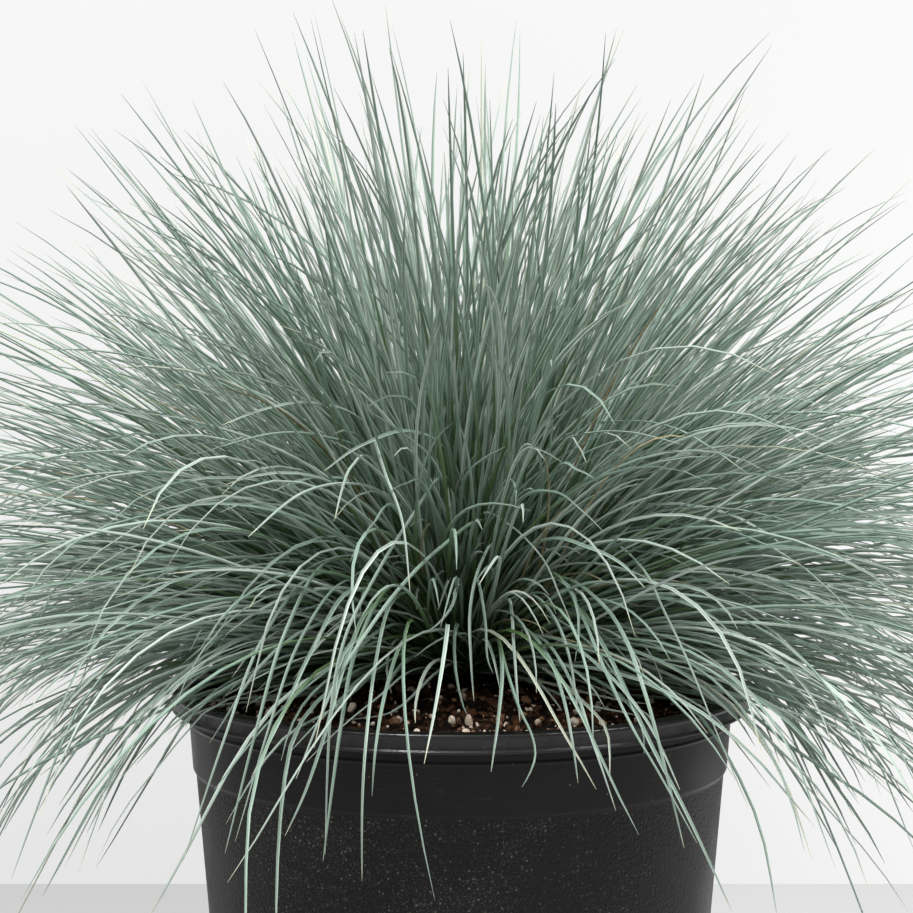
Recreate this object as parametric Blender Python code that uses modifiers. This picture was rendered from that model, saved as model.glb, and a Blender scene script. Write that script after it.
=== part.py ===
"""A clump of blue fescue grass growing in a black nursery pot.

Metres, +Z up. The origin is the centre of the pot's underside, where it stands.
The clump's shoots (tillers) all point away from one spot, the heart, at the middle
of the soil surface. Each shoot is a short stem with a spray of blades fused to it.
"""

import math
import random

import bmesh
import bpy
from mathutils import Matrix, Vector, noise

MM = 0.001

# Pot, a one gallon nursery pot: 165 mm across its lip and as tall
POT_HEIGHT = 165 * MM
LIP_RADIUS = 82.5 * MM
LIP_HEIGHT = 5.3 * MM
LIP_TOP_WIDTH = 5.1 * MM
LIP_SKIN = 1.6 * MM
LIP_BEVEL = 0.6 * MM
LIP_DRAFT = 0.2 * MM
BAND_TOP_RADIUS = 77.9 * MM
BAND_BOTTOM_RADIUS = 76.4 * MM
STEP_HEIGHT_FROM_BASE = 142.6 * MM
STEP_DEPTH = 0.9 * MM
STEP_DROP = 1.5 * MM
BASE_RADIUS = 63.8 * MM
WALL = 1.5 * MM
FLOOR = 2.0 * MM
FOOT_RING = (57.5 * MM, 61.8 * MM)
FOOT_BEVEL = 2.5 * MM
DRAIN_CHANNEL = (45.5 * MM, 57.0 * MM)
DRAIN_CHANNEL_SLOPE = 1.2 * MM
DRAIN_HOLE_DIAMETER = 8.5 * MM
DRAIN_HOLE_SIDES = 12
DRAIN_HOLES = 6
TURNED_SIDES = 36

# Potting mix, heaped a little towards the middle
GAP = 0.3 * MM
MIX_EDGE_HEIGHT = POT_HEIGHT - 4.0 * MM
MIX_TOP_HEIGHT = POT_HEIGHT + 0.5 * MM
MIX_FLAT_RADIUS = 17 * MM
MIX_RINGS = 4
MIX_HEAP_POWER = 1.3
LUMP_HEIGHT = 0.8 * MM
LUMP_SIZE = 9 * MM

# Crown and shoots
HEART = Vector((0, 0, MIX_TOP_HEIGHT + GAP))
CROWN_RADIUS = 14 * MM
CROWN_SIDES = 14
CROWN_RINGS = 8
TILLERS = 48
WIDEST_LEAN = math.radians(81)
GOLDEN_ANGLE = math.pi * (3 - math.sqrt(5))
STEM_LENGTH = 14 * MM
STEM_RADIUS_LOW = 1.45 * MM
STEM_RADIUS_TOP = 2.3 * MM
STEM_SIDES = 6

# Blades, as distances from the heart
STEM_END = CROWN_RADIUS + GAP + STEM_LENGTH
REACH = 201 * MM
MIDDLE_BLADE_SHARES = (0.94, 1.0)
OUTER_BLADE_SHARES = (0.78, 0.97)
BLADES_ROUND = 4
BLADE_ROOT_DEPTH = 4 * MM
BLADE_ROOT_OFFSET = 1.3 * MM
BLADE_SPREAD = math.radians(6.5)
LOWEST_LEAN = math.radians(86)
BLADE_ROOT_RADIUS = 0.55 * MM
BLADE_WIDEST_RADIUS = 1.15 * MM
BLADE_WIDEST_AT = 0.4
BLADE_TAPER_POWER = 0.8
FIRST_STEP = 0.6
FEWEST_POINTS = 4
BEND_PER_POINT = math.radians(32)
DROOP_SIDE = math.radians(62)
DROOP_FRONT = math.radians(86)
DROOP_POWER = 1.7
BEND_POWER = 1.25
STEP_LENGTH = 2 * MM
WELD_DISTANCE = 0.01 * MM

COLOURS = {
    "pot_plastic": ((0.018, 0.018, 0.020, 1), 0.42),
    "potting_mix": ((0.030, 0.018, 0.011, 1), 0.95),
    "crown": ((0.100, 0.130, 0.060, 1), 0.80),
    "blades": ((0.200, 0.310, 0.270, 1), 0.55),
}


def clear_scene():
    for obj in list(bpy.data.objects):
        bpy.data.objects.remove(obj)


def make_collection(name):
    collection = bpy.data.collections.new(name)
    bpy.context.scene.collection.children.link(collection)
    return collection


def make_material(name):
    colour, roughness = COLOURS[name]
    material = bpy.data.materials.new(name)
    material.use_nodes = True
    shader = material.node_tree.nodes["Principled BSDF"]
    shader.inputs["Base Color"].default_value = colour
    shader.inputs["Roughness"].default_value = roughness
    shader.inputs["Metallic"].default_value = 0
    material.diffuse_color = colour
    return material


def add_object(name, data, collection, material=None):
    obj = bpy.data.objects.new(name, data)
    collection.objects.link(obj)
    if material:
        data.materials.append(material)
    return obj


def hide_helper(obj):
    obj.hide_render = True
    obj.display_type = "WIRE"


def turned(name, profile, collection, material):
    """A solid turned about Z from (radius, height) points, which run down its outer side."""
    mesh = bpy.data.meshes.new(name)
    points = [(radius, 0, height) for radius, height in profile]
    edges = [(i, i + 1) for i in range(len(points) - 1)]
    mesh.from_pydata(points, edges, [])
    obj = add_object(name, mesh, collection, material)
    screw = obj.modifiers.new("Turn", "SCREW")
    screw.steps = TURNED_SIDES
    screw.render_steps = TURNED_SIDES
    screw.use_merge_vertices = True
    screw.merge_threshold = WELD_DISTANCE
    return obj


def evaluated_mesh(obj):
    graph = bpy.context.evaluated_depsgraph_get()
    return bpy.data.meshes.new_from_object(obj.evaluated_get(graph), depsgraph=graph)


def cone_mesh(name, sides, low_radius, top_radius, length, middle, axis=Vector((0, 0, 1))):
    mesh = bpy.data.meshes.new(name)
    shape = bmesh.new()
    bmesh.ops.create_cone(
        shape, cap_ends=True, segments=sides, radius1=low_radius, radius2=top_radius, depth=length
    )
    turn = axis.to_track_quat("Z", "Y").to_matrix().to_4x4()
    bmesh.ops.transform(shape, matrix=Matrix.Translation(middle) @ turn, verts=shape.verts[:])
    shape.to_mesh(mesh)
    shape.free()
    return mesh


def wall_radius(height):
    """Outer radius of the tapered wall below the step."""
    top = BAND_BOTTOM_RADIUS - STEP_DEPTH
    share = height / (STEP_HEIGHT_FROM_BASE - STEP_DROP)
    return BASE_RADIUS + (top - BASE_RADIUS) * share


def pot_inside():
    """The pot's inner surface as (radius, height), from the middle of its floor to the lip."""
    floor_step = DRAIN_CHANNEL[0] - WALL
    return [
        (0, FLOOR),
        (floor_step - DRAIN_CHANNEL_SLOPE, FLOOR),
        (floor_step, 2 * FLOOR),
        (wall_radius(2 * FLOOR) - WALL, 2 * FLOOR),
        (BAND_BOTTOM_RADIUS - STEP_DEPTH - WALL, STEP_HEIGHT_FROM_BASE - STEP_DROP),
        (BAND_TOP_RADIUS - WALL, POT_HEIGHT - LIP_HEIGHT),
        (LIP_RADIUS - LIP_TOP_WIDTH, POT_HEIGHT),
    ]


def pot_outside():
    """The pot's outer surface, from the lip's top down to the middle of the underside."""
    skirt_inner = LIP_RADIUS - LIP_SKIN
    under_lip = POT_HEIGHT - LIP_SKIN
    skirt_end = POT_HEIGHT - LIP_HEIGHT
    channel_in, channel_out = DRAIN_CHANNEL
    ring_in, ring_out = FOOT_RING
    return [
        (LIP_RADIUS - LIP_BEVEL, POT_HEIGHT),
        (LIP_RADIUS, POT_HEIGHT - LIP_BEVEL),
        (LIP_RADIUS - LIP_DRAFT, skirt_end),
        (skirt_inner, skirt_end),
        (skirt_inner, under_lip),
        (BAND_TOP_RADIUS, under_lip),
        (BAND_BOTTOM_RADIUS, STEP_HEIGHT_FROM_BASE),
        (BAND_BOTTOM_RADIUS - STEP_DEPTH, STEP_HEIGHT_FROM_BASE - STEP_DROP),
        (wall_radius(FOOT_BEVEL), FOOT_BEVEL),
        (ring_out, 0),
        (ring_in, 0),
        (channel_out, FLOOR),
        (channel_in, FLOOR),
        (channel_in - DRAIN_CHANNEL_SLOPE, 0),
        (0, 0),
    ]


def make_pot(parts, cutters):
    pot = turned("nursery_pot", pot_inside() + pot_outside(), parts, make_material("pot_plastic"))
    ring_radius = sum(DRAIN_CHANNEL) / 2
    for index in range(DRAIN_HOLES):
        angle = math.tau * (index + 0.5) / DRAIN_HOLES
        place = Vector((ring_radius * math.cos(angle), ring_radius * math.sin(angle), FLOOR))
        radius = DRAIN_HOLE_DIAMETER / 2
        name = f"drain_cutter_{index + 1}"
        mesh = cone_mesh(name, DRAIN_HOLE_SIDES, radius, radius, 6 * FLOOR, place)
        cutter = add_object(mesh.name, mesh, cutters)
        hide_helper(cutter)
        hole = pot.modifiers.new(cutter.name, "BOOLEAN")
        hole.operation = "DIFFERENCE"
        hole.object = cutter
    return pot


def mix_top(radius):
    """Height of the heaped surface before its lumps."""
    edge = pot_inside()[-2][0]
    share = max(0, radius - MIX_FLAT_RADIUS) / (edge - MIX_FLAT_RADIUS)
    return MIX_TOP_HEIGHT + (MIX_EDGE_HEIGHT - MIX_TOP_HEIGHT) * share**MIX_HEAP_POWER


def make_potting_mix(parts):
    """The mix fills the pot with a small gap, and its top is broken into soft lumps."""
    inside = pot_inside()
    edge_radius = inside[-2][0] - GAP
    steps = [index / MIX_RINGS for index in range(MIX_RINGS + 1)]
    radii = [MIX_FLAT_RADIUS + (edge_radius - MIX_FLAT_RADIUS) * step for step in steps]
    top = [(radius, mix_top(radius)) for radius in [0] + radii]
    sides = [(inside[index][0] - GAP, inside[index][1]) for index in (5, 4)]
    floor = [(max(0, inside[index][0] - GAP), inside[index][1] + GAP) for index in (3, 2, 1, 0)]
    rough = turned("potting_mix_turned", top + sides + floor, parts, None)
    mesh = evaluated_mesh(rough)
    bpy.data.objects.remove(rough)
    mesh.name = "potting_mix"
    for vertex in mesh.vertices:
        radius = math.hypot(vertex.co.x, vertex.co.y)
        on_top = vertex.co.z > POT_HEIGHT - LIP_HEIGHT + GAP
        if on_top and MIX_FLAT_RADIUS + GAP < radius < edge_radius - GAP:
            vertex.co.z += LUMP_HEIGHT * noise.noise(vertex.co / LUMP_SIZE)
    return add_object("potting_mix", mesh, parts, make_material("potting_mix"))


def make_crown(parts):
    """The woody knot that the shoots grow from: the upper half of a ball."""
    mesh = bpy.data.meshes.new("crown")
    shape = bmesh.new()
    bmesh.ops.create_uvsphere(
        shape, u_segments=CROWN_SIDES, v_segments=CROWN_RINGS, radius=CROWN_RADIUS
    )
    everything = shape.verts[:] + shape.edges[:] + shape.faces[:]
    bmesh.ops.bisect_plane(
        shape, geom=everything, plane_co=(0, 0, 0), plane_no=(0, 0, 1), clear_inner=True
    )
    rim = [edge for edge in shape.edges if edge.is_boundary]
    bmesh.ops.holes_fill(shape, edges=rim)
    bmesh.ops.recalc_face_normals(shape, faces=shape.faces[:])
    bmesh.ops.translate(shape, verts=shape.verts[:], vec=HEART)
    shape.to_mesh(mesh)
    shape.free()
    return add_object("crown", mesh, parts, make_material("crown"))


def lean_and_bearing(direction):
    """Angle from upright, and bearing about Z, of a unit direction."""
    return math.acos(max(-1, min(1, direction.z))), math.atan2(direction.y, direction.x)


def heading(lean, bearing):
    return Vector(
        (
            math.sin(lean) * math.cos(bearing),
            math.sin(lean) * math.sin(bearing),
            math.cos(lean),
        )
    )


def droop(lean, bearing):
    """How far a full-length blade bends over, more where it starts low and at the front."""
    facing_front = max(0, -math.sin(bearing)) ** 2
    most = DROOP_SIDE + (DROOP_FRONT - DROOP_SIDE) * facing_front
    return most * (lean / LOWEST_LEAN) ** DROOP_POWER


def point_on_arch(distance, lean, bearing):
    """Where a blade that leaves the heart this way has got to. Arches never cross each other."""
    along = min(distance, STEM_END)
    out, up = along * math.sin(lean), along * math.cos(lean)
    bend = droop(lean, bearing)
    steps = max(1, math.ceil((distance - along) / STEP_LENGTH))
    step = (distance - along) / steps
    for index in range(steps):
        gone = (index + 0.5) * step / (REACH - STEM_END)
        angle = lean + bend * gone**BEND_POWER
        out += step * math.sin(angle)
        up += step * math.cos(angle)
    return HEART + Vector((out * math.cos(bearing), out * math.sin(bearing), up))


def tiller_direction(index):
    """Shoots are spread evenly over a dome, each a golden angle on from the last."""
    share = (index + 0.5) / TILLERS
    lean = math.acos(1 - share * (1 - math.cos(WIDEST_LEAN)))
    return heading(lean, index * GOLDEN_ANGLE)


def tilted(direction, side, across, angle, turn):
    """The direction leaned over by an angle, towards a turn about itself."""
    sideways = side * math.cos(turn) + across * math.sin(turn)
    return (direction * math.cos(angle) + sideways * math.sin(angle)).normalized()


def blade_line(direction, turn, spread, length, points):
    """Points along one blade: inside the stem it runs beside the axis, then it fans out."""
    side = direction.orthogonal().normalized()
    across = direction.cross(side)
    offset = BLADE_ROOT_OFFSET if spread else 0
    least = offset / STEM_END
    sideways = side * math.cos(turn) + across * math.sin(turn)
    root = HEART + direction * (STEM_END - BLADE_ROOT_DEPTH) + sideways * offset
    line = [root]
    for index in range(points - 1):
        share = (index + FIRST_STEP) / (points - 2 + FIRST_STEP)
        distance = STEM_END + (length - STEM_END) * share
        angle = least + (spread - least) * share
        lean, bearing = lean_and_bearing(tilted(direction, side, across, angle, turn))
        line.append(point_on_arch(distance, min(lean, LOWEST_LEAN), bearing))
    return line


def blade_radius(share):
    """Half width along a blade: narrow at its root, widest below the middle, a needle at its tip."""
    if share < BLADE_WIDEST_AT:
        grown = share / BLADE_WIDEST_AT
        return BLADE_ROOT_RADIUS + (BLADE_WIDEST_RADIUS - BLADE_ROOT_RADIUS) * grown
    left = (1 - share) / (1 - BLADE_WIDEST_AT)
    return BLADE_WIDEST_RADIUS * left**BLADE_TAPER_POWER


def make_keel_profile(guides):
    """The blades' section, a flat topped keel, one unit in radius."""
    curve = bpy.data.curves.new("blade_section", "CURVE")
    curve.dimensions = "2D"
    spline = curve.splines.new("POLY")
    spline.points.add(2)
    for point, angle in zip(spline.points, (90, 210, 330)):
        point.co = (math.cos(math.radians(angle)), math.sin(math.radians(angle)), 0, 1)
    spline.use_cyclic_u = True
    section = add_object("blade_section", curve, guides)
    hide_helper(section)
    return section


def make_spray(name, direction, lengths, section, guides):
    """One mesh of the blades of a shoot, closed at both ends."""
    curve = bpy.data.curves.new(name, "CURVE")
    curve.dimensions = "3D"
    curve.bevel_mode = "OBJECT"
    curve.bevel_object = section
    curve.use_fill_caps = True
    points = FEWEST_POINTS + round(droop(*lean_and_bearing(direction)) / BEND_PER_POINT)
    for index, length in enumerate(lengths):
        spread = BLADE_SPREAD if index else 0
        turn = math.tau * index / BLADES_ROUND
        line = blade_line(direction, turn, spread, length, points)
        spline = curve.splines.new("POLY")
        spline.points.add(len(line) - 1)
        for place, (point, position) in enumerate(zip(spline.points, line)):
            point.co = (*position, 1)
            point.radius = blade_radius(place / (len(line) - 1))
    tube = add_object(name + "_curve", curve, guides)
    mesh = evaluated_mesh(tube)
    mesh.name = name
    bpy.data.objects.remove(tube)
    shape = bmesh.new()
    shape.from_mesh(mesh)
    bmesh.ops.remove_doubles(shape, verts=shape.verts[:], dist=WELD_DISTANCE)
    bmesh.ops.recalc_face_normals(shape, faces=shape.faces[:])
    shape.to_mesh(mesh)
    shape.free()
    spray = add_object(name, mesh, guides)
    hide_helper(spray)
    return spray


def make_tiller(index, draws, section, parts, guides, material):
    """A shoot: a short stem standing on the crown, with its blades fused into its end."""
    direction = tiller_direction(index)
    lengths = [REACH * draws.uniform(*MIDDLE_BLADE_SHARES)]
    lengths += [REACH * draws.uniform(*OUTER_BLADE_SHARES) for _ in range(BLADES_ROUND)]
    name = f"tiller_{index + 1:02d}"
    middle = HEART + direction * (STEM_END - STEM_LENGTH / 2)
    mesh = cone_mesh(
        name, STEM_SIDES, STEM_RADIUS_LOW, STEM_RADIUS_TOP, STEM_LENGTH, middle, direction
    )
    stem = add_object(name, mesh, parts, material)
    fuse = stem.modifiers.new("Fuse blades", "BOOLEAN")
    fuse.operation = "UNION"
    fuse.object = make_spray(name + "_spray", direction, lengths, section, guides)
    return stem


def main():
    clear_scene()
    parts = make_collection("potted_blue_fescue")
    guides = make_collection("guides")
    make_pot(parts, guides)
    make_potting_mix(parts)
    make_crown(parts)
    section = make_keel_profile(guides)
    blades = make_material("blades")
    draws = random.Random(7)
    for index in range(TILLERS):
        make_tiller(index, draws, section, parts, guides, blades)


main()
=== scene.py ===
# %% [markdown]
# # A potted blue fescue clump
#
# Blue fescue is a small evergreen grass. Its leaves are folded lengthwise into stiff needles
# about a millimetre wide, covered in a pale wax, and they fan out from one crown in a dome.
# This one grows in a black nursery pot full of bark mix and perlite.
#
# The lesson dresses a plain model of the plant. We first load that model, the frame, which
# fixes every size and place. Then each piece gets its real surface: thousands of leaves from
# one small Geometry Nodes tree, loose grains from another, and a turned pot.

# %% Load the frame
import math

import bmesh
import bpy
from mathutils import Matrix, Vector, noise


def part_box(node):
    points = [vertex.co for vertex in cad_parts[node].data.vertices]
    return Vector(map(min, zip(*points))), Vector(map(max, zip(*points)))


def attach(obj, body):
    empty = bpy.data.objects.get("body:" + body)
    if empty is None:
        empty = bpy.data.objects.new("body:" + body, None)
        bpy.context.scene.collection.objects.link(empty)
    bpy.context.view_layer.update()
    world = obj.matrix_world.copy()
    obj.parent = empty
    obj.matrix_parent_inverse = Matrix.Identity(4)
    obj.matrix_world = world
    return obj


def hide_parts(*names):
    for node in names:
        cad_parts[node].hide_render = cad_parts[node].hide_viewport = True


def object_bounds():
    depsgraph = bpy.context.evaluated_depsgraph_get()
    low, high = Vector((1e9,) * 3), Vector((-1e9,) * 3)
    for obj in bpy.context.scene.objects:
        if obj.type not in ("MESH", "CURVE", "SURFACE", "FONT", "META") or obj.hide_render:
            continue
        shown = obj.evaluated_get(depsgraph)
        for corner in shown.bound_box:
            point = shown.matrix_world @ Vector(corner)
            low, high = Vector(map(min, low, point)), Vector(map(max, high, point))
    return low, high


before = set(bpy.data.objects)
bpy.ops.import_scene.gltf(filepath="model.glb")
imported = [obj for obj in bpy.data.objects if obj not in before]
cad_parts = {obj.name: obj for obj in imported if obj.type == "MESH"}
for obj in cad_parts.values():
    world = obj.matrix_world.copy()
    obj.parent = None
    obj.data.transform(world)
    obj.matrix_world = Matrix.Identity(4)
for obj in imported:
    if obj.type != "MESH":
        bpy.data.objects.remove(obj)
frame_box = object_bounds()
MM = 0.001
BODY = "root"
print("frame from", [round(x, 4) for x in frame_box[0]], "to", [round(x, 4) for x in frame_box[1]])

# %% [markdown]
# ## Reading sizes from the frame
#
# A scene that repeats numbers by hand soon disagrees with itself. We measure the pot's lip, the
# top of the mix and the reach of the shoots on the frame's own solids, and work from those.

# %% Measure the frame
pot_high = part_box("nursery_pot")[1]
mix_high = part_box("potting_mix")[1]
crown_low, crown_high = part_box("crown")
POT_HEIGHT = pot_high.z
LIP_RADIUS = pot_high.x
HEART = Vector((0, 0, crown_low.z))
CROWN_RADIUS = crown_high.z - crown_low.z
TILLERS = sorted(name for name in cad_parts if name.startswith("tiller_"))
TIP_MARGIN = 8 * MM
REACH = frame_box[1].z - HEART.z + TIP_MARGIN
print(f"pot {POT_HEIGHT / MM:.0f} mm tall, {2 * LIP_RADIUS / MM:.0f} mm across its lip")
print(f"{len(TILLERS)} shoots reach {REACH / MM:.0f} mm from the crown")

# %% [markdown]
# ## Camera
#
# The picture was taken from the front, a little above the lip, with a long lens: the far side
# of the lip is only slightly smaller than the near side, and the floor's far edge is visible.
# Those three clues give the distance, the height and the tilt.

# %% Camera
FRAME_PIXELS = 913
FOCAL_PIXELS = 2800
CAMERA_PITCH = math.radians(4.41)
CAMERA_PLACE = Vector((-1 * MM, -796 * MM, POT_HEIGHT + 127 * MM))


def add_object(name, data):
    item = bpy.data.objects.new(name, data)
    bpy.context.scene.collection.objects.link(item)
    return item


camera_data = bpy.data.cameras.new("camera")
camera_data.sensor_width = 36
camera_data.lens = camera_data.sensor_width * FOCAL_PIXELS / FRAME_PIXELS
camera_data.clip_start = 0.05
camera = add_object("camera", camera_data)
camera.location = CAMERA_PLACE
camera.rotation_euler = (math.pi / 2 - CAMERA_PITCH, 0, 0)
bpy.context.scene.camera = camera
print(f"lens {camera_data.lens:.0f} mm, {CAMERA_PLACE.length:.2f} m from the pot's foot")

# %% [markdown]
# ## Node trees written as Python
#
# Both shaders and Geometry Nodes are graphs, and wiring them by hand hides the idea behind
# them. A thin wrapper lets a formula be written as a formula: arithmetic on a `Signal` adds
# the Math nodes, and `Graph.add` adds any other node. Its settings go first, because they
# decide which sockets a node has. A plain number stays on the socket it belongs to.

# %% Signals in a node tree
SCALAR = "ShaderNodeMath"
VECTOR = "ShaderNodeVectorMath"


def maths(operation, kind=SCALAR):
    """A method that adds a node for the operation on the signal and the method's values."""

    def method(self, *values):
        return self.graph.add(kind, {"operation": operation}, self, *values)

    return method


class Signal:
    """One output socket. Arithmetic on it adds Math nodes, or Vector Math nodes for vectors."""

    __truediv__ = maths("DIVIDE")
    __pow__ = maths("POWER")
    __lt__ = maths("LESS_THAN")
    __gt__ = maths("GREATER_THAN")
    least = maths("MINIMUM")
    most = maths("MAXIMUM")
    soft_most = maths("SMOOTH_MAX")
    size = maths("ABSOLUTE")
    root = maths("SQRT")
    floor = maths("FLOOR")
    exponent = maths("EXPONENT")
    sine = maths("SINE")
    cosine = maths("COSINE")
    arccosine = maths("ARCCOSINE")
    arctangent2 = maths("ARCTAN2")
    cross = maths("CROSS_PRODUCT", VECTOR)
    normalized = maths("NORMALIZE", VECTOR)

    def __init__(self, graph, socket):
        self.graph = graph
        self.socket = socket
        self.is_vector = socket.type in ("VECTOR", "RGBA")

    def either(self, operation, *values):
        kind = VECTOR if self.is_vector else SCALAR
        return self.graph.add(kind, {"operation": operation}, *values)

    def __add__(self, other):
        return self.either("ADD", self, other)

    def __radd__(self, other):
        return self.either("ADD", other, self)

    def __sub__(self, other):
        return self.either("SUBTRACT", self, other)

    def __rsub__(self, other):
        return self.either("SUBTRACT", other, self)

    def __mul__(self, other):
        if self.is_vector:
            return self.graph.add(VECTOR, {"operation": "SCALE"}, Vector=self, Scale=other)
        return self.graph.add(SCALAR, {"operation": "MULTIPLY"}, self, other)

    def __rmul__(self, other):
        return self * other

    def clamp(self, low=0.0, high=1.0):
        return self.most(low).least(high)

    def parts(self):
        """The X, Y and Z of a vector."""
        split = self.graph.add("ShaderNodeSeparateXYZ", None, self)
        return split, split.other("Y"), split.other("Z")

    def other(self, name):
        found = [s for s in self.socket.node.outputs if s.name == name and s.enabled]
        return Signal(self.graph, found[0])


print("signals ready")


# %% Node trees that take signals
class Graph:
    """A node tree of any kind. Its add method makes a node, sets it and feeds it."""

    def __init__(self, tree):
        self.tree = tree
        self.inputs = {}

    def add(self, kind, settings=None, *values, **named):
        node = self.tree.nodes.new(kind)
        for name, value in (settings or {}).items():
            if name == "stops":
                self.set_stops(node.color_ramp, value)
            else:
                setattr(node, name, value)
        sockets = [s for s in node.inputs if s.enabled]
        for socket, value in zip(sockets, values):
            self.feed(socket, value)
        for name, value in named.items():
            wanted = name.replace("_", " ")
            self.feed(next(s for s in sockets if s.name == wanted), value)
        shown = [s for s in node.outputs if s.enabled]
        return Signal(self, shown[0]) if shown else None

    def feed(self, socket, value):
        if isinstance(value, Signal):
            value = value.socket
        if isinstance(value, bpy.types.NodeSocket):
            self.tree.links.new(value, socket)
        elif value is not None:
            socket.default_value = value

    def feed_all(self, node, **values):
        for name, value in values.items():
            self.feed(node.inputs[name.replace("_", " ")], value)

    def vector(self, x, y, z):
        return self.add("ShaderNodeCombineXYZ", None, x, y, z)

    def noise(self, place, scale, detail):
        return self.add("ShaderNodeTexNoise", None, Vector=place, Scale=scale, Detail=detail)

    def blend(self, factor, low, high):
        """Runs from one colour to another. Each is a signal, or red, green and blue."""
        low, high = [(*end, 1) if isinstance(end, tuple) else end for end in (low, high)]
        return self.add("ShaderNodeMix", {"data_type": "RGBA"}, Factor=factor, A=low, B=high)

    def set_stops(self, ramp, stops):
        while len(ramp.elements) < len(stops):
            ramp.elements.new(1)
        for element, (place, colour) in zip(ramp.elements, stops):
            element.position = place
            element.color = (*colour, 1)

    def take(self, kind, *names):
        """Named inputs of a Geometry Nodes tree, all of one kind."""
        taken = []
        for name in names:
            socket_type = "NodeSocket" + kind
            item = self.tree.interface.new_socket(name, in_out="INPUT", socket_type=socket_type)
            self.inputs[name] = item.identifier
            taken.append(item.identifier)
        node = self.tree.nodes.new("NodeGroupInput")
        return [Signal(self, s) for s in node.outputs if s.identifier in taken]

    def give(self, signal):
        """The tree's result."""
        self.tree.interface.new_socket("Geometry", in_out="OUTPUT", socket_type="NodeSocketGeometry")
        self.tree.links.new(signal.socket, self.tree.nodes.new("NodeGroupOutput").inputs[0])


def geometry_graph(name):
    return Graph(bpy.data.node_groups.new(name, "GeometryNodeTree"))


def new_material(name):
    """A material with its graph, its shader and a signal for the place of each point."""
    material = bpy.data.materials.new(name)
    material.use_nodes = True
    graph = Graph(material.node_tree)
    shader = material.node_tree.nodes["Principled BSDF"]
    return material, graph, shader, graph.add("ShaderNodeTexCoord").other("Object")


print("node helpers ready")


# %% Run a Geometry Nodes tree and keep its mesh
SHOWN_VALUES = ("along", "across", "tint")


def applied(item):
    """The object's new mesh, which is what its modifiers made of the old one."""
    found = item.evaluated_get(bpy.context.evaluated_depsgraph_get())
    mesh = bpy.data.meshes.new_from_object(found)
    item.modifiers.clear()
    item.data = mesh
    return mesh


def grown(name, graph, start=None, **values):
    """A plain mesh object with what the tree makes of a starting mesh and these inputs."""
    source = add_object(name, start or bpy.data.meshes.new(name))
    modifier = source.modifiers.new("Grow", "NODES")
    modifier.node_group = graph.tree
    for label, value in values.items():
        modifier[graph.inputs[label.replace("_", " ")]] = value
    result = applied(source)
    result.name = name
    for helper in [a.name for a in result.attributes if a.data_type == "FLOAT"]:
        if helper not in SHOWN_VALUES:
            result.attributes.remove(result.attributes[helper])
    return source


def keep(piece, slot, *stands_for):
    """Rides the piece on the pot and hides the solids it stands for. The slot is not used."""
    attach(piece, BODY)
    if stands_for:
        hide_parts(*stands_for)
    return piece


print("a grown mesh keeps", SHOWN_VALUES)

# %% [markdown]
# ## The nursery pot
#
# A nursery pot is moulded in one shell of thin black plastic: a rolled lip to carry it by, a
# smooth band under the lip, a small step, and a tapered wall with a pebbled skin that hides
# scratches. All of it is turned, so one outline and a Screw modifier make the whole shell. Sharp
# corners would catch no light, so each corner of the outline is rounded first.

# %% Outline of the pot
LIP_HEIGHT = 5.3 * MM
LIP_TOP_WIDTH = 5.1 * MM
LIP_SKIN = 1.6 * MM
LIP_BEAD = 1.0 * MM
LIP_INSET = 0.45 * MM
BAND_TOP_RADIUS = LIP_RADIUS - 4.6 * MM
BAND_BOTTOM_RADIUS = LIP_RADIUS - 6.1 * MM
STEP_HEIGHT = POT_HEIGHT - 22.4 * MM
STEP_DEPTH = 0.9 * MM
STEP_DROP = 1.5 * MM
RIDGE_HEIGHT = POT_HEIGHT - 8.7 * MM
RIDGE_SIZE = 0.35 * MM
BASE_RADIUS = 63.8 * MM
WALL = 1.5 * MM
FLOOR = 2.0 * MM
FOOT_RING = (57.5 * MM, 61.8 * MM)
FOOT_BEVEL = 2.5 * MM
DRAIN_CHANNEL = (45.5 * MM, 57.0 * MM)
DRAIN_CHANNEL_SLOPE = 1.2 * MM
DRAIN_HOLE_RADIUS = 4.25 * MM
DRAIN_HOLES = 6


def wall_radius(height):
    top = BAND_BOTTOM_RADIUS - STEP_DEPTH
    return BASE_RADIUS + (top - BASE_RADIUS) * height / (STEP_HEIGHT - STEP_DROP)


def band_radius(height):
    share = (height - STEP_HEIGHT) / (POT_HEIGHT - LIP_SKIN - STEP_HEIGHT)
    return BAND_BOTTOM_RADIUS + (BAND_TOP_RADIUS - BAND_BOTTOM_RADIUS) * share


def pot_inside():
    """(radius, height, rounding) from the middle of the floor up to the lip."""
    step = DRAIN_CHANNEL[0] - WALL
    return [
        (0, FLOOR, 0),
        (step - DRAIN_CHANNEL_SLOPE, FLOOR, 0.4 * MM),
        (step, 2 * FLOOR, 0.4 * MM),
        (wall_radius(2 * FLOOR) - WALL, 2 * FLOOR, 0.8 * MM),
        (BAND_BOTTOM_RADIUS - STEP_DEPTH - WALL, STEP_HEIGHT - STEP_DROP, 0.8 * MM),
        (BAND_TOP_RADIUS - WALL, POT_HEIGHT - LIP_HEIGHT, 0.8 * MM),
        (LIP_RADIUS - LIP_TOP_WIDTH, POT_HEIGHT, 0.5 * MM),
    ]


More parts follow.
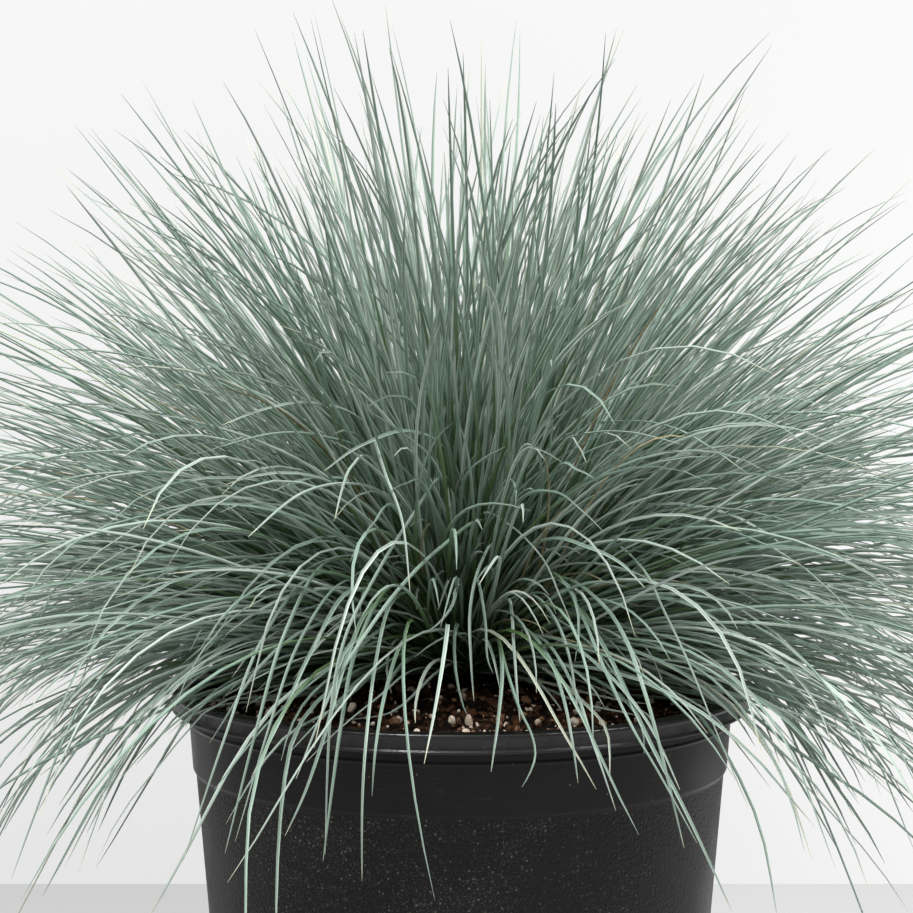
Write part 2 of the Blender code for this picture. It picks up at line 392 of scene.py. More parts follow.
def pot_outside():
    """(radius, height, rounding) from the lip down to the middle of the underside."""
    skirt = LIP_RADIUS - LIP_SKIN
    under_lip = POT_HEIGHT - LIP_SKIN
    skirt_end = POT_HEIGHT - LIP_HEIGHT
    channel_in, channel_out = DRAIN_CHANNEL
    ring_in, ring_out = FOOT_RING
    ridge = [
        (band_radius(RIDGE_HEIGHT + 2 * RIDGE_SIZE), RIDGE_HEIGHT + 2 * RIDGE_SIZE, 0.1 * MM),
        (band_radius(RIDGE_HEIGHT) + RIDGE_SIZE, RIDGE_HEIGHT, 0.2 * MM),
        (band_radius(RIDGE_HEIGHT - 2 * RIDGE_SIZE), RIDGE_HEIGHT - 2 * RIDGE_SIZE, 0.1 * MM),
    ]
    face = LIP_RADIUS - LIP_INSET
    return [
        (LIP_RADIUS - 0.3 * MM, POT_HEIGHT, 0.9 * MM),
        (LIP_RADIUS, POT_HEIGHT - LIP_BEAD, 0.5 * MM),
        (face, POT_HEIGHT - LIP_BEAD - LIP_INSET, 0.3 * MM),
        (face, skirt_end + LIP_BEAD, 0.3 * MM),
        (LIP_RADIUS, skirt_end + LIP_BEAD - 0.7 * LIP_INSET, 0.4 * MM),
        (LIP_RADIUS, skirt_end, 0.4 * MM),
        (skirt, skirt_end, 0.3 * MM),
        (skirt, under_lip, 0.4 * MM),
        (BAND_TOP_RADIUS, under_lip, 0.4 * MM),
        *ridge,
        (BAND_BOTTOM_RADIUS, STEP_HEIGHT, 0.3 * MM),
        (BAND_BOTTOM_RADIUS - STEP_DEPTH, STEP_HEIGHT - STEP_DROP, 0.4 * MM),
        (wall_radius(FOOT_BEVEL), FOOT_BEVEL, 0.8 * MM),
        (ring_out, 0, 0.5 * MM),
        (ring_in, 0, 0.5 * MM),
        (channel_out, FLOOR, 0.4 * MM),
        (channel_in, FLOOR, 0.3 * MM),
        (channel_in - DRAIN_CHANNEL_SLOPE, 0, 0.3 * MM),
        (0, 0, 0),
    ]


def rounded(outline, arc_points=4):
    """The outline with each corner replaced by an arc of its own rounding."""
    smooth = []
    for index, (radius, height, rounding) in enumerate(outline):
        corner = Vector((radius, height))
        if not rounding:
            smooth.append(corner)
            continue
        before = Vector(outline[index - 1][:2]) - corner
        after = Vector(outline[index + 1][:2]) - corner
        reach = min(rounding, before.length * 0.45, after.length * 0.45)
        start = corner + before.normalized() * reach
        end = corner + after.normalized() * reach
        for step in range(arc_points + 1):
            share = step / arc_points
            low = start.lerp(corner, share)
            high = corner.lerp(end, share)
            smooth.append(low.lerp(high, share))
    return smooth


pot_outline = rounded(pot_inside() + pot_outside())
print(len(pot_outline), "points on the pot's outline")

# %% Turn the pot and cut its drain holes
POT_SIDES = 168
DRAIN_HOLE_SIDES = 32
WELD = 0.002 * MM
SHARP_CORNER = math.radians(40)


def shaped(name, shape):
    """An object with the shape built in bmesh."""
    mesh = bpy.data.meshes.new(name)
    shape.to_mesh(mesh)
    shape.free()
    return add_object(name, mesh)


def turned(name, outline, sides):
    """A closed solid turned about Z."""
    mesh = bpy.data.meshes.new(name)
    points = [(point.x, 0, point.y) for point in outline]
    mesh.from_pydata(points, [(i, i + 1) for i in range(len(points) - 1)], [])
    piece = add_object(name, mesh)
    screw = piece.modifiers.new("Turn", "SCREW")
    screw.steps = sides
    screw.render_steps = sides
    screw.use_merge_vertices = True
    screw.merge_threshold = WELD
    solid = applied(piece)
    shape = bmesh.new()
    shape.from_mesh(solid)
    bmesh.ops.recalc_face_normals(shape, faces=shape.faces[:])
    shape.to_mesh(solid)
    shape.free()
    return piece


def drain_cutters():
    """One mesh of six short rods, one through each hole."""
    shape = bmesh.new()
    ring_radius = sum(DRAIN_CHANNEL) / 2
    for index in range(DRAIN_HOLES):
        angle = math.tau * (index + 0.5) / DRAIN_HOLES
        place = Vector((ring_radius * math.cos(angle), ring_radius * math.sin(angle), FLOOR))
        bmesh.ops.create_cone(
            shape,
            cap_ends=True,
            segments=DRAIN_HOLE_SIDES,
            radius1=DRAIN_HOLE_RADIUS,
            radius2=DRAIN_HOLE_RADIUS,
            depth=6 * FLOOR,
            matrix=Matrix.Translation(place),
        )
    return shaped("drain_cutters", shape)


pot = turned("moulded_pot", pot_outline, POT_SIDES)
cutters = drain_cutters()
holes = pot.modifiers.new("Drain", "BOOLEAN")
holes.operation = "DIFFERENCE"
holes.object = cutters
bored = applied(pot)
bpy.data.objects.remove(cutters)
bored.shade_smooth()
bored.set_sharp_from_angle(angle=SHARP_CORNER)
print("pot has", len(pot.data.polygons), "faces and", DRAIN_HOLES, "drain holes")

# %% [markdown]
# ## Black plastic that has been used
#
# New black plastic is easy and looks fake. A pot from a nursery carries grey dust, water marks
# and fine scuffs on its smooth band. The glints of its pebbled wall are painted into the colour
# as light grey dots, and so is a faint sheen on the lip's face. The pebble is a bump of about a
# millimetre that starts at the step, so the shader reads the height of each point to know which
# skin it is on.

# %% Pot material
POT_BLACK = (0.0034, 0.0031, 0.0035)
POT_DUST_AND_HIGHLIGHT_GREY = (0.105, 0.098, 0.090)
CLOUD_SCALE = 28.0
PEBBLE_SCALE = 1250.0
GLITTER_SCALE = 2100.0
SCRATCH_SCALE = 130.0
SCRATCH_STRETCH = (1.0, 1.0, 9.0)
SCRATCH_TURN = (0.0, 0.25, 0.0)
SPECK_SCALE = 800.0
PEBBLE_FADE = 0.8 * MM
LIP_FADE = 0.3 * MM
PEBBLE_HEIGHT = 0.4 * MM


def pot_material():
    material, graph, shader, place = new_material("nursery_pot_plastic")
    height = place.parts()[2]
    pebbled = ((STEP_HEIGHT - STEP_DROP / 2 - height) / PEBBLE_FADE).clamp()
    cloudy = graph.noise(place, CLOUD_SCALE, 5.0)
    grainy = graph.noise(place, PEBBLE_SCALE, 3.0)
    glitter = graph.noise(place, GLITTER_SCALE, 2.0)
    stretched = graph.add(
        "ShaderNodeMapping", None, Vector=place, Scale=SCRATCH_STRETCH, Rotation=SCRATCH_TURN
    )
    scratches = graph.noise(stretched, SCRATCH_SCALE, 4.0)
    scuffs = ((scratches - 0.63) * 9).clamp() * (cloudy * 1.6 - 0.4).clamp()
    specks = graph.add("ShaderNodeTexVoronoi", {"feature": "F1"}, Vector=place, Scale=SPECK_SCALE)
    chosen = specks.other("Color").parts()[0] > 0.985 - pebbled * 0.30
    # Dust specks on the smooth band; on the pebbled wall the dots grow far more common and are painted
    # glints.
    dust_specks_and_glints = (0.30 - specks).most(0.0) * 8 * chosen * (cloudy * 2.2 - 0.55).clamp(0.15, 1.0)
    # Painted glints: light grey dots on the pebbled wall stand in for glints of light.
    painted_glints = ((glitter - 0.58) * 9).clamp() * pebbled * (cloudy * 3.2 - 1.05).clamp(0.12, 1.0)
    on_lip = ((height - (POT_HEIGHT - LIP_HEIGHT)) / LIP_FADE).clamp()
    # Water marks follow the clouds; the lip's face is also made lighter, a painted sheen.
    water_marks_and_lip_sheen = (cloudy - 0.5).most(0.0) * 0.25 + on_lip * 0.035
    # Scuffs, dust specks and water marks are the plastic's own; the glints and the lip's sheen are
    # painted highlights in the same grey.
    dust_glints_and_sheen = (scuffs * 0.35 + dust_specks_and_glints + painted_glints * 0.85 + water_marks_and_lip_sheen).clamp()
    rough = 0.26 + pebbled * 0.06 + (cloudy - 0.4).most(0.0) * 0.5 + dust_glints_and_sheen * 0.3
    skin = grainy * pebbled + scratches * 0.05 + cloudy * 0.2
    graph.feed_all(
        shader,
        Base_Color=graph.blend(dust_glints_and_sheen, POT_BLACK, POT_DUST_AND_HIGHLIGHT_GREY),
        Roughness=rough.clamp(0.2, 0.8),
        Normal=graph.add("ShaderNodeBump", None, Strength=1.0, Distance=PEBBLE_HEIGHT, Height=skin),
        Coat_Weight=on_lip * 0.5,
        Coat_Roughness=0.12,
        Specular_IOR_Level=0.19,
    )
    return material


def dress(piece, material):
    piece.data.materials.clear()
    piece.data.materials.append(material)


dress(pot, pot_material())
keep(pot, "pot_plastic", "nursery_pot")
print("pot dressed")

# %% [markdown]
# ## Potting mix
#
# The mix is composted bark, near black when damp, with white perlite in it. Its body is a
# turned solid like the pot, whose top is pushed up and down by layers of noise. On top lie
# loose grains: we only need a few stone shapes, because one Geometry Nodes tree spreads them,
# turns and sizes each, and then warps them all so that no two look alike.

# %% Body of the mix
GAP = 0.3 * MM
MIX_TOP = mix_high.z
MIX_EDGE_HEIGHT = POT_HEIGHT - 4.0 * MM
MIX_FLAT_RADIUS = 17 * MM
MIX_EDGE_RADIUS = BAND_TOP_RADIUS - WALL - GAP
MIX_HEAP_POWER = 1.3
MIX_RINGS = 56
MIX_SIDES = 150
CLOD_HEIGHT = 1.5 * MM
CLOD_SIZE = 7 * MM
CLOD_SINK = 0.45
CLOD_LAYERS = ((1, 1), (2.7, 0.5), (6.1, 0.3))


def mix_height(x, y):
    radius = math.hypot(x, y)
    share = max(0, radius - MIX_FLAT_RADIUS) / (MIX_EDGE_RADIUS - MIX_FLAT_RADIUS)
    heap = MIX_TOP + (MIX_EDGE_HEIGHT - MIX_TOP) * share**MIX_HEAP_POWER
    place = Vector((x, y, 0)) / CLOD_SIZE
    clods = sum(weight * noise.noise(place * finer) for finer, weight in CLOD_LAYERS)
    return heap + CLOD_HEIGHT * (clods - CLOD_SINK)


def mix_outline():
    inside = pot_inside()
    radii = [MIX_EDGE_RADIUS * ring / MIX_RINGS for ring in range(MIX_RINGS + 1)]
    top = [Vector((radius, MIX_EDGE_HEIGHT)) for radius in radii]
    sides = [Vector((inside[i][0] - GAP, inside[i][1])) for i in (5, 4)]
    floor = [Vector((max(0, inside[i][0] - GAP), inside[i][1] + GAP)) for i in (3, 2, 1, 0)]
    return top + sides + floor


mix = turned("bark_mix", mix_outline(), MIX_SIDES)
for vertex in mix.data.vertices:
    if vertex.co.z > MIX_EDGE_HEIGHT - 0.1 * MM:
        vertex.co.z = mix_height(vertex.co.x, vertex.co.y)
mix.data.shade_smooth()
print("mix has", len(mix.data.polygons), "faces")

# %% Colours of bark, stone and fibre
COARSE_SCALE = 210.0
FINE_SCALE = 1300.0
PIT_SCALE = 1500.0
GRAIN_BUMP = 0.25 * MM


def grain_material(name, dark, light, roughness, spots=0.0):
    """Colour runs from dark to light by the grain's tint and by fine noise."""
    material, graph, shader, place = new_material(name)
    tint = graph.add("ShaderNodeAttribute", {"attribute_name": "tint"}).other("Fac")
    coarse = graph.noise(place, COARSE_SCALE, 4.0)
    fine = graph.noise(place, FINE_SCALE, 3.0)
    mixed = (tint * 0.55 + (coarse - 0.35) * 0.9 + (fine - 0.5) * 0.8).clamp()
    colour = graph.blend(mixed, dark, light)
    if spots:
        cells = graph.add("ShaderNodeTexVoronoi", None, Vector=place, Scale=PIT_SCALE)
        pits = ((0.35 - cells) * 4).clamp() * spots
        colour = graph.blend(pits, colour, dark)
    rough = roughness + (fine - 0.5) * 0.3
    skin = fine + coarse
    graph.feed_all(
        shader,
        Base_Color=colour,
        Roughness=rough.clamp(0.2, 1.0),
        Normal=graph.add("ShaderNodeBump", None, Strength=0.7, Distance=GRAIN_BUMP, Height=skin),
        Specular_IOR_Level=0.15,
    )
    return material


damp_mix = grain_material("damp_bark_mix", (0.0020, 0.0012, 0.0008), (0.018, 0.009, 0.004), 0.85)
bark = grain_material("bark_crumb", (0.0028, 0.0015, 0.0008), (0.095, 0.040, 0.017), 0.6)
wood = grain_material("tan_wood_bit", (0.060, 0.028, 0.014), (0.380, 0.210, 0.115), 0.80)
perlite = grain_material("perlite", (0.560, 0.400, 0.280), (0.950, 0.880, 0.760), 0.75, 0.35)
fibre = grain_material("root_fibre", (0.060, 0.030, 0.015), (0.300, 0.180, 0.090), 0.75)
dress(mix, damp_mix)
keep(mix, "potting_mix", "potting_mix")
print("five earth materials")

# %% A tree that scatters grains
LUMP_SCALE = 520.0


def store_value(graph, geometry, name, domain, value):
    return graph.add(
        "GeometryNodeStoreNamedAttribute",
        {"data_type": "FLOAT", "domain": domain},
        Geometry=geometry,
        Name=name,
        Value=value,
    )


def scatter_graph():
    graph = geometry_graph("scattered_grains")
    [ground] = graph.take("Geometry", "Geometry")
    [grain] = graph.take("Object", "Grain")
    [material] = graph.take("Material", "Material")
    [seed] = graph.take("Int", "Seed")
    density, smallest, largest = graph.take("Float", "Density", "Smallest", "Largest")
    flatness, tilt, warp, lift = graph.take("Float", "Flatness", "Tilt", "Warp", "Lift")
    points = graph.add(
        "GeometryNodeDistributePointsOnFaces", None, Mesh=ground, Density=density, Seed=seed
    )
    which = graph.add("GeometryNodeInputIndex")

    def draw(low, high, salt):
        return graph.add("FunctionNodeRandomValue", None, low, high, ID=which, Seed=seed * 13 + salt)

    shape = graph.add("GeometryNodeObjectInfo", None, Object=grain).other("Geometry")
    size = smallest + (largest - smallest) * draw(0.0, 1.0, 1) ** 2.2
    scale = graph.vector(size * draw(0.65, 1.0, 2), size, size * flatness * draw(0.7, 1.0, 3))
    turn = graph.vector(
        tilt * draw(-1.0, 1.0, 4), tilt * draw(-1.0, 1.0, 5), draw(0.0, math.tau, 6)
    )
    placed = graph.add(
        "GeometryNodeInstanceOnPoints",
        None,
        Points=points,
        Instance=shape,
        Rotation=graph.add("FunctionNodeEulerToRotation", None, turn),
        Scale=scale,
    )
    tinted = store_value(graph, placed, "tint", "INSTANCE", draw(0.0, 1.0, 7))
    loose = graph.add("GeometryNodeRealizeInstances", None, tinted)
    where = graph.add("GeometryNodeInputPosition")
    lumps = graph.noise(where, LUMP_SCALE, 1.0)
    push = (lumps.other("Color") - (0.5, 0.5, 0.5)) * (warp * 2)
    up = graph.vector(0.0, 0.0, lift)
    warped = graph.add("GeometryNodeSetPosition", None, Geometry=loose, Offset=push + up)
    graph.give(graph.add("GeometryNodeSetMaterial", None, Geometry=warped, Material=material))
    return graph


scattered_grains = scatter_graph()
print("the scatter tree has", len(scattered_grains.tree.nodes), "nodes")

# %% Grain shapes and the ground they fall on
SLIVER_THICKNESS = 0.03


def lump_shape(name, detail):
    shape = bmesh.new()
    bmesh.ops.create_icosphere(shape, subdivisions=detail, radius=0.5)
    return shaped(name, shape)


def sliver_shape(name, sides, bends, curl):
    """A thin bent rod, one unit long, for fibres."""
    shape = bmesh.new()
    bmesh.ops.create_cone(shape, cap_ends=True, segments=sides, radius1=0.5, radius2=0.3, depth=1)
    lengthwise = [edge for edge in shape.edges if abs(edge.verts[0].co.z - edge.verts[1].co.z) > 0.5]
    bmesh.ops.subdivide_edges(shape, edges=lengthwise, cuts=bends, use_grid_fill=True)
    for vertex in shape.verts:
        along = vertex.co.z
        vertex.co = Vector((vertex.co.x * SLIVER_THICKNESS, along, vertex.co.y * SLIVER_THICKNESS))
        vertex.co.x += curl * math.sin(along * 5)
        vertex.co.z += curl * math.cos(along * 4) * 0.4
    return shaped(name, shape)


def ground_patch(name, low_radius, high_radius, rings=26, sides=110):
    """An open copy of the mix's top between two radii."""
    mesh = bpy.data.meshes.new(name)
    corners = []
    faces = []
    for ring in range(rings + 1):
        radius = low_radius + (high_radius - low_radius) * ring / rings
        for side in range(sides):
            angle = math.tau * side / sides
            x, y = radius * math.cos(angle), radius * math.sin(angle)
            corners.append((x, y, mix_height(x, y)))
    for ring in range(rings):
        for side in range(sides):
            a = ring * sides + side
            b = ring * sides + (side + 1) % sides
            faces.append((a, a + sides, b + sides, b))
    mesh.from_pydata(corners, [], faces)
    return mesh


lump = lump_shape("lump", 1)
round_lump = lump_shape("round_lump", 2)
sliver = sliver_shape("sliver", 4, 5, 0.12)
GROUND = (9 * MM, 72.5 * MM)
print("grain shapes have", len(lump.data.polygons), "to", len(round_lump.data.polygons), "faces")

# %% Scatter the grains
# Each row: name, shape, grains a square metre, smallest and largest size, flatness, tilt, warp, lift
GRAINS = [
    ("bark_crumbs", lump, 150000, 0.9, 3.4, 0.8, 3.0, 0.45, 0.2, bark),
    ("bark_chips", lump, 9000, 3.0, 7.5, 0.35, 0.5, 0.9, 0.5, bark),
    ("wood_bits", lump, 14000, 1.0, 3.8, 0.7, 3.0, 0.45, 0.9, wood),
    ("perlite_lumps", round_lump, 14500, 1.0, 3.9, 0.8, 3.0, 0.8, 0.9, perlite),
    ("perlite_dust", lump, 20000, 0.4, 1.3, 0.9, 3.0, 0.1, 0.6, perlite),
    ("root_fibres", sliver, 15000, 3.0, 11.0, 1.0, 0.35, 1.0, 0.9, fibre),
]
for seed, row in enumerate(GRAINS):
    name, shape, density, smallest, largest, flatness, tilt, warp, lift, finish = row
    grains = grown(
        name,
        scattered_grains,
        start=ground_patch(name + "_ground", *GROUND),
        Grain=shape,
        Density=float(density),
        Seed=seed + 3,
        Smallest=smallest * MM,
        Largest=largest * MM,
        Flatness=flatness,
        Tilt=tilt,
        Warp=warp * MM,
        Lift=lift * MM,
        Material=finish,
    )
    keep(grains, "potting_mix")
    print(name, len(grains.data.polygons), "faces")
for shape in (lump, round_lump, sliver):
    bpy.data.objects.remove(shape)

# %% [markdown]
# ## Leaf colour
#
# A fescue leaf is green underneath its wax. Near the crown the wax is thin and the leaf shows
# greener, and its colour there is made darker still as painted shade for the inside of the
# clump. Along the blade it turns grey-blue; the tip dries to a pale straw, and the outer part
# of every leaf is darkened as painted shade. A pale line along each margin is a painted
# highlight, and a dark line in the groove is painted shade. Each leaf also differs a little
# from its neighbours. The tree that grows the leaves writes three values on them: `along` runs
# from root to tip, `across` from one margin to the other, and `tint` differs from leaf to
# leaf. The shader mixes its colours by those.

# %% Leaf material
LEAF_ROOT_AND_SHADE = (0.026, 0.058, 0.010)
LEAF_GREEN = (0.068, 0.124, 0.044)
LEAF_BLUE = (0.184, 0.264, 0.214)
LEAF_PALE = (0.415, 0.480, 0.432)
LEAF_TIP_SHADE = (0.150, 0.170, 0.155)
LEAF_STRAW = (0.520, 0.500, 0.330)
MOTTLE_SCALE = 150.0


def leaf_material(name, wax_gain, wax_start):
    """Wax covers the leaf from wax_start on; its gain says how soon."""
    material, graph, shader, place = new_material(name)

    def value_of(attribute):
        return graph.add("ShaderNodeAttribute", {"attribute_name": attribute}).other("Fac")

    along = value_of("along")
    tint = value_of("tint")
    across = value_of("across")
    mottle = graph.noise(place, MOTTLE_SCALE, 4.0)
    wax = (along * wax_gain + (tint - 0.5) * 0.8 + (mottle - 0.5) * 0.3 - wax_start).clamp()
    # Painted shade: towards the crown the ramp runs to a very dark green, the leaf's own green darkened
    # to stand in for the shade inside the clump.
    body = graph.add(
        "ShaderNodeValToRGB",
        {"stops": [(0, LEAF_ROOT_AND_SHADE), (0.3, LEAF_GREEN), (0.75, LEAF_BLUE), (1, LEAF_BLUE)]},
        wax,
    )
    # Painted highlight: a pale line along each margin, where the folded edges would catch the light.
    margin = ((across.size() - 0.2) * 3).clamp() * 0.4
    old = ((along - 0.5) * 0.7).clamp()
    # Wax bloom by tint, mottle and age, with the painted margin highlight added in.
    bloom_and_margin_highlight = ((tint - 0.5) * 1.7 + (mottle - 0.5) * 0.4 + margin + old * 0.6 - 0.1).clamp(0, 0.82) * wax
    # Painted shade: a dark green line down the groove, where the fold would lie in shade.
    groove = (1 - across.size() * 7).clamp() * 0.55
    pale = graph.blend(groove, graph.blend(bloom_and_margin_highlight, body, LEAF_PALE), LEAF_GREEN)
    # Painted shade: the outer part of each leaf turns a dull dark grey, as thin tips look with light
    # behind them.
    pale = graph.blend(((along - 0.72) * 2.2).clamp() * 0.75, pale, LEAF_TIP_SHADE)
    faded = ((tint - 0.965) * 40).clamp() * 0.35
    dry = (((along - 0.965 + (tint - 0.5) * 0.08) * 18).clamp() * 0.7).most(faded)
    graph.feed_all(
        shader,
        Base_Color=graph.blend(dry, pale, LEAF_STRAW),
        Roughness=(0.40 + mottle * 0.25).clamp(),
        Specular_IOR_Level=0.45,
    )
    return material


waxy_leaf = leaf_material("waxy_leaf", 1.85, 0.26)
leaf_sheath = leaf_material("leaf_sheath", 0.45, 0.1)
print("leaf material has", len(waxy_leaf.node_tree.nodes), "nodes")

# %% [markdown]
# ## Growing the leaves
#
# Modelling thousands of leaves one by one is out of the question, and hair particles would
# not survive an export. Instead one Geometry Nodes tree grows a spray of leaves, and we run it
# once for each shoot. A leaf starts as a straight line of points. At every point the tree asks
# which way the leaf is heading: it leaves the crown at some lean from upright, and it bends
# over further the longer it gets. Adding those headings up, step by step, gives the arch.
# Sweeping a folded section along the arch, thick in the middle and fine at the tip, gives a
# solid leaf with a groove on its upper side.

# %% Folded leaf section
SECTION_POINTS = 5
SECTION_DEPTH = 0.42
GROOVE_DEPTH = 0.09
LEAF_TWIST = 0.75
SHARP_EDGE = math.radians(24)


def folded_section(graph):
    """Points round a leaf one unit wide: a rounded back and a groove on top."""
    ring = graph.add("GeometryNodeCurvePrimitiveCircle", None, SECTION_POINTS, Radius=1.0)
    index = graph.add("GeometryNodeInputIndex")
    angle = (index + SECTION_POINTS / 4) * (math.tau / SECTION_POINTS)
    on_groove = index < 0.5
    side = angle.cosine() * (-0.5 / math.cos(math.pi / (2 * SECTION_POINTS)))
    height = -1 * angle.sine() * SECTION_DEPTH * (1 - on_groove) + on_groove * GROOVE_DEPTH
    place = graph.vector(side, height, 0.0)
    shaped = graph.add("GeometryNodeSetPosition", None, Geometry=ring, Position=place)
    return store_value(graph, shaped, "across", "POINT", side)


print("a leaf's section has", SECTION_POINTS, "points")


# %% Solid leaves along curves
def recall(graph, name):
    return graph.add("GeometryNodeInputNamedAttribute", {"data_type": "FLOAT"}, Name=name)


def dressed_leaves(graph, curves, widest, seed, material, tints=(0.0, 1.0)):
    """Solid leaves along the curves, tapering to their tips, each with its own tint and twist."""
    leaf = graph.add("GeometryNodeInputIndex")

    def draw(low, high, salt):
        return graph.add("FunctionNodeRandomValue", None, low, high, ID=leaf, Seed=seed * 17 + salt)

    along = graph.add("GeometryNodeSplineParameter")
    curves = store_value(graph, curves, "tint", "CURVE", draw(*tints, 901))
    curves = store_value(graph, curves, "width", "CURVE", widest * draw(0.8, 1.15, 902))
    curves = store_value(graph, curves, "turn", "CURVE", draw(-LEAF_TWIST, LEAF_TWIST, 903))
    curves = store_value(graph, curves, "along", "POINT", along)
    facing = graph.add("GeometryNodeSetCurveNormal", {"mode": "Z_UP"}, Curve=curves)
    turned_leaf = graph.add(
        "GeometryNodeSetCurveTilt", None, Curve=facing, Tilt=recall(graph, "turn") * (0.4 + along)
    )
    swelling = (0.5 + along * 1.3).least(1.0)
    taper = (1 - along**5.0).most(0.0) ** 0.6 * 0.92 + 0.08
    solid = graph.add(
        "GeometryNodeCurveToMesh",
        None,
        Curve=turned_leaf,
        Profile_Curve=folded_section(graph),
        Scale=swelling * taper * recall(graph, "width"),
        Fill_Caps=True,
    )
    smooth = graph.add("GeometryNodeSetShadeSmooth", {"domain": "FACE"}, Geometry=solid)
    edge_angle = graph.add("GeometryNodeInputMeshEdgeAngle")
    creased = graph.add(
        "GeometryNodeSetShadeSmooth",
        {"domain": "EDGE"},
        Geometry=smooth,
        Selection=edge_angle > SHARP_EDGE,
        Shade_Smooth=False,
    )
    whole = graph.add("GeometryNodeRealizeInstances", None, creased)
    return graph.add("GeometryNodeSetMaterial", None, Geometry=whole, Material=material)


print(f"leaves turn up to {math.degrees(LEAF_TWIST * 1.4):.0f} degrees")

# %% The tree that grows a spray
LEAF_STEPS = 14
LEAF_WIDTH = 1.0 * MM
ROOT_BUNDLE = 22 * MM
TUFT = 5
TUFT_SPREAD = math.radians(15)
STEEPEST_FALL = math.radians(152)
LIP_CLEARANCE = 2 * MM
LIP_SHOULDER = 9 * MM
LIP_FALL = 2.0
LIP_SOFTNESS = 20 * MM
ANY_DIRECTION = (0.31, 0.52, 0.80)


def spray_graph():
    graph = geometry_graph("leaf_spray")
    leaves, seed = graph.take("Int", "Leaves", "Seed")
    axis, heart = graph.take("Vector", "Axis", "Heart")
    spread, droop, crown = graph.take("Float", "Spread", "Droop", "Crown Radius")
    shortest, longest, widest = graph.take("Float", "Shortest", "Longest", "Width")
    [material] = graph.take("Material", "Material")
    points = graph.add("GeometryNodePoints", None, leaves)
    line = graph.add("GeometryNodeCurvePrimitiveLine")
    stepped = graph.add("GeometryNodeResampleCurve", None, Curve=line, Count=LEAF_STEPS + 1)
    placed = graph.add("GeometryNodeInstanceOnPoints", None, Points=points, Instance=stepped)
    curves = graph.add("GeometryNodeRealizeInstances", None, placed)
    leaf = graph.add("GeometryNodeInputIndex")
    tuft = (leaf / TUFT).floor()
    drawn = []

    def draw(low, high, who=leaf):
        drawn.append(low)
        return graph.add(
            "FunctionNodeRandomValue", None, low, high, ID=who, Seed=seed * 31 + len(drawn)
        )

    side = axis.cross(ANY_DIRECTION).normalized()
    other_side = axis.cross(side)
    tuft_turn = draw(0.0, math.tau, tuft)
    tuft_out = spread * draw(0.0, 1.0, tuft).root()
    leaf_turn = draw(0.0, math.tau)
    leaf_out = TUFT_SPREAD * draw(0.0, 1.0).root()
    out_x = tuft_out * tuft_turn.cosine() + leaf_out * leaf_turn.cosine()
    out_y = tuft_out * tuft_turn.sine() + leaf_out * leaf_turn.sine()
    aimed = axis + side * out_x + other_side * out_y
    start_x, start_y, start_z = aimed.normalized().parts()

    def store(name, value, domain="CURVE"):
        nonlocal curves
        curves = store_value(graph, curves, name, domain, value)

    store("lean", start_z.clamp(0.03, 1.0).arccosine())
    store("bearing", start_y.arctangent2(start_x))
    length = shortest + (longest - shortest) * draw(0.0, 1.0) ** 0.75
    store("length", length * draw(0.82, 1.0, tuft))
    store("bend", droop * draw(0.35, 1.6) + draw(-0.16, 0.34))
    store("power", draw(1.0, 2.4))
    store("sway", draw(-0.55, 0.55) + draw(-0.15, 0.15, tuft))
    store("root_x", draw(-0.7, 0.7, tuft) + draw(-0.4, 0.4))
    store("root_y", draw(-0.7, 0.7, tuft) + draw(-0.4, 0.4))
    store("root_out", draw(0.2, 0.6, tuft))

    along = graph.add("GeometryNodeSplineParameter")
    length = recall(graph, "length")
    start = recall(graph, "lean")
    lean = (start + recall(graph, "bend") * along ** recall(graph, "power")).least(STEEPEST_FALL)
    bearing = recall(graph, "bearing")
    sway = recall(graph, "sway") * along**1.5
    step = length / LEAF_STEPS
    outward = lean.sine() * sway.cosine()
    heading = graph.vector(
        (outward * bearing.cosine() - sway.sine() * bearing.sine()) * step,
        (outward * bearing.sine() + sway.sine() * bearing.cosine()) * step,
        lean.cosine() * sway.cosine() * step,
    )
    summed = graph.add(
        "GeometryNodeAccumulateField",
        {"data_type": "FLOAT_VECTOR", "domain": "POINT"},
        Value=heading,
        Group_ID=graph.add("GeometryNodeCurveOfPoint"),
    ).other("Trailing")
    root_out = crown * start.sine() * recall(graph, "root_out")
    apart = 1 - (along * length * (-1 / ROOT_BUNDLE)).exponent() * 0.5
    root = graph.vector(
        (root_out * bearing.cosine() + crown * recall(graph, "root_x")) * apart,
        (root_out * bearing.sine() + crown * recall(graph, "root_y")) * apart,
        0.0,
    )
    x, y, z = (heart + summed + root).parts()
    from_axis = (x * x + y * y).root()
    beyond = (from_axis - (LIP_RADIUS + LIP_SHOULDER)).soft_most(0.0, LIP_SOFTNESS)
    lowest = POT_HEIGHT + LIP_CLEARANCE - beyond * LIP_FALL
    lifted = graph.vector(x, y, z.soft_most(lowest, LIP_SOFTNESS))
    bent = graph.add("GeometryNodeSetPosition", None, Geometry=curves, Position=lifted)
    graph.give(dressed_leaves(graph, bent, widest, seed, material))
    return graph


leaf_spray = spray_graph()
print("the spray tree has", len(leaf_spray.tree.nodes), "nodes")

# %% Grow every shoot
WIDEST_LEAN = math.radians(81)
LOWEST_LEAN = math.radians(86)
DROOP_SIDE = math.radians(62)
DROOP_FRONT = math.radians(86)
DROOP_POWER = 1.7
GOLDEN_ANGLE = math.pi * (3 - math.sqrt(5))
LEAVES_EACH = 120
CELL_SPREAD = math.radians(13)
SHORTEST_SHARE = 0.30
LONGEST_SHARE = 1.04
LOW_FROM = math.radians(45)
THIN_FROM = math.radians(14)
THIN_OVER = math.radians(30)
FRONT_THINNED = 0.97
FRONT_RISE = math.radians(22)
SIDE_RISE = math.radians(6.5)
DROOP_PER_RISE = 1.5


